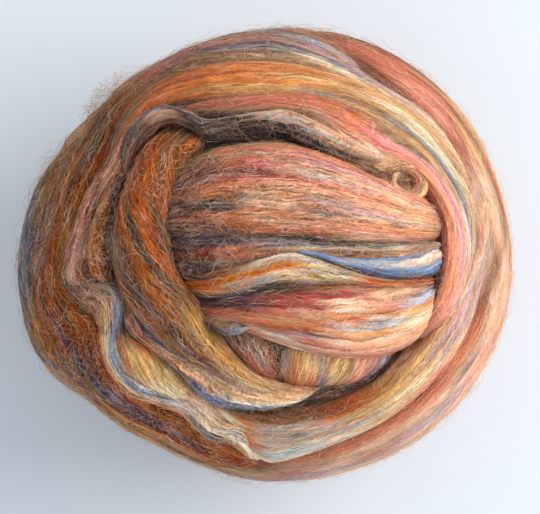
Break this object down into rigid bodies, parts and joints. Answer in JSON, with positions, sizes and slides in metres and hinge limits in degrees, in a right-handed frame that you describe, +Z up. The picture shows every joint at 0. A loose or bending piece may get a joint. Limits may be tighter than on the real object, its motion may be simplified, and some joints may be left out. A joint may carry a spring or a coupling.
{
  "type": "ball of wool roving",
  "caption": "Soft ball of combed wool roving, wound in broad flattened turns of one thick strand, with a small flat foot it rests on.",
  "frame": {"origin": "bottom centre of the bounding box, on the level the ball stands on", "axes": "+Z up, away from the foot; +X along the ball's widest side; +Y along its other level side"},
  "size_m": [0.1824, 0.1734, 0.1495],
  "materials": {
    "wool": "combed blended wool fibre, soft and matt with a faint sheen along the fibres"
  },
  "bodies": {
    "root": {"roving_ball": "wool"}
  },
  "joints": []
}
